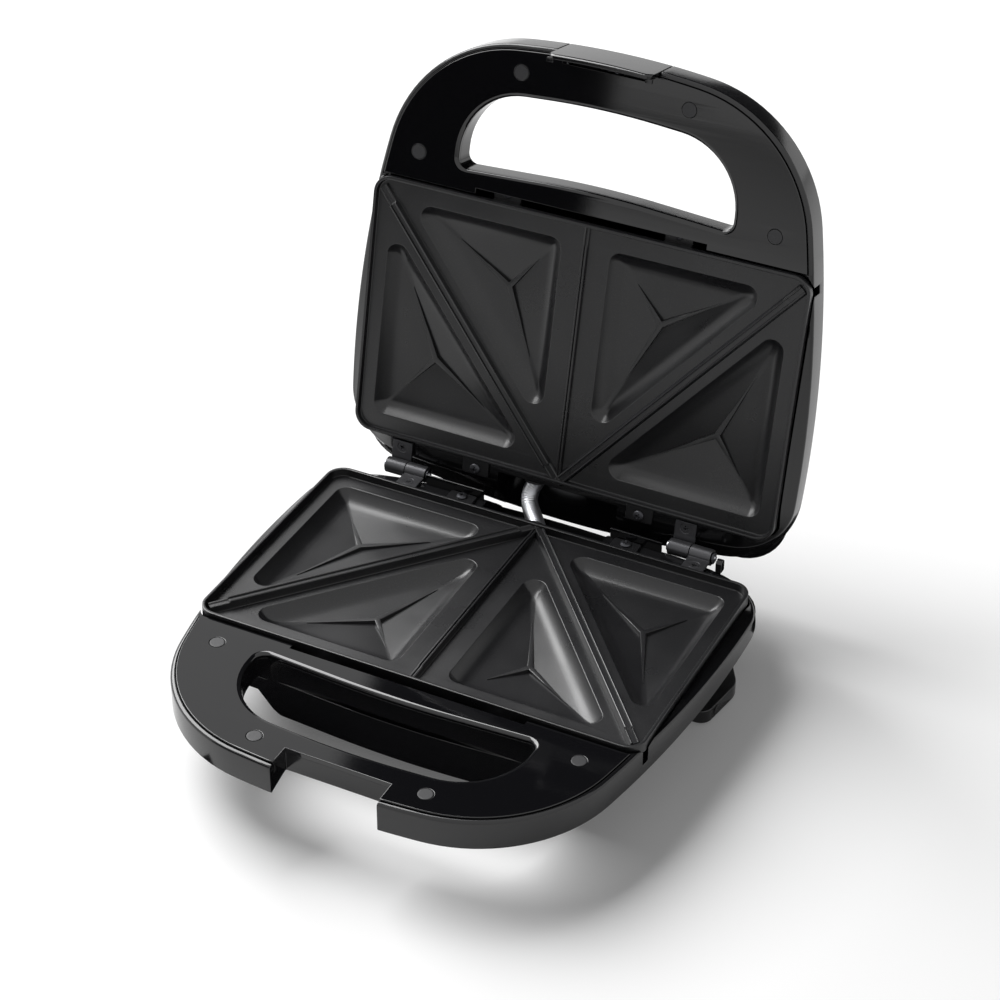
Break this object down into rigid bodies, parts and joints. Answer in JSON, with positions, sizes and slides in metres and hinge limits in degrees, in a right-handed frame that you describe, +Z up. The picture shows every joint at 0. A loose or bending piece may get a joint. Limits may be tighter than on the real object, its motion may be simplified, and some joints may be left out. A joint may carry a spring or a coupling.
{
  "type": "sandwich toaster",
  "caption": "Countertop sandwich toaster with a hinged lid, triangular pocket plates, loop handles and a front latch clip.",
  "frame": {"origin": "on the table, under the middle of the open toaster", "axes": "+X to the user's right, +Y to the rear hinges, +Z up"},
  "size_m": [0.2376, 0.293, 0.264],
  "materials": {
    "casing": "glossy black moulded plastic",
    "handle_cover": "very glossy black moulded plastic",
    "inner_plastic": "matt black heat-resistant plastic",
    "plate": "satin charcoal non-stick coating",
    "heater": "oxidised steel sheath",
    "ceramic": "matt ceramic",
    "reflector": "bright mill finish",
    "dark_steel": "dark zinc plating",
    "plug": "matt grey plastic",
    "steel": "bright zinc plating",
    "rubber": "matt rubber",
    "leg_plastic": "satin black plastic",
    "hinge_steel": "satin dark coating on steel",
    "conduit": "satin bright steel",
    "fuse": "satin metal case",
    "lamp": "clear glass envelope",
    "lens": "tinted translucent lens",
    "spring": "bright spring wire",
    "latch": "glossy black moulded plastic"
  },
  "bodies": {
    "base": {"base_shell": "casing", "base_bottom_cover": "inner_plastic", "base_handle_cover": "handle_cover", "base_plate": "plate", "base_heater": "heater", "base_heater_beads": "ceramic", "base_reflector": "reflector", "base_plate_screws": "dark_steel", "base_screw_plugs": "plug", "base_handle_screws": "steel", "bottom_cover_screws": "steel", "front_feet": "rubber", "cord_wrap_legs": "leg_plastic", "leg_screws": "steel", "rear_foot_pads": "rubber", "cord_gland": "rubber", "hinge_base_leaves": "hinge_steel", "hinge_base_screws": "dark_steel", "hinge_pins": "steel", "hinge_pin_clips": "dark_steel", "terminal_block": "ceramic", "base_conduit_collar": "inner_plastic", "wiring_conduit": "conduit"},
    "lid": {"lid_shell": "casing", "lid_handle_cover": "handle_cover", "lid_plate": "plate", "lid_heater": "heater", "lid_heater_beads": "ceramic", "lid_reflector": "reflector", "lid_plate_screws": "dark_steel", "lid_screw_plugs": "plug", "lid_handle_screws": "steel", "hinge_lid_leaves": "hinge_steel", "hinge_lid_screws": "dark_steel", "lid_conduit_collar": "inner_plastic", "thermostat": "ceramic", "thermal_fuse": "fuse", "indicator_lamps": "lamp", "lamp_lenses": "lens", "latch_pin": "steel", "latch_spring": "spring"},
    "latch": {"latch_clip": "latch"}
  },
  "joints": [
    {"name": "lid_hinge", "type": "hinge", "parent": "base", "child": "lid", "pos_m": [0, 0.07626, 0.04414], "axis": [1, 0, 0], "range_deg": [0, 102.6], "deforming": ["wiring_conduit"]},
    {"name": "latch_hinge", "type": "hinge", "parent": "lid", "child": "latch", "pos_m": [0, 0.13614, 0.25307], "axis": [-1, 0, 0], "range_deg": [0, 25], "stiffness_Nm_per_rad": 0.05, "springref_deg": -11.46}
  ]
}
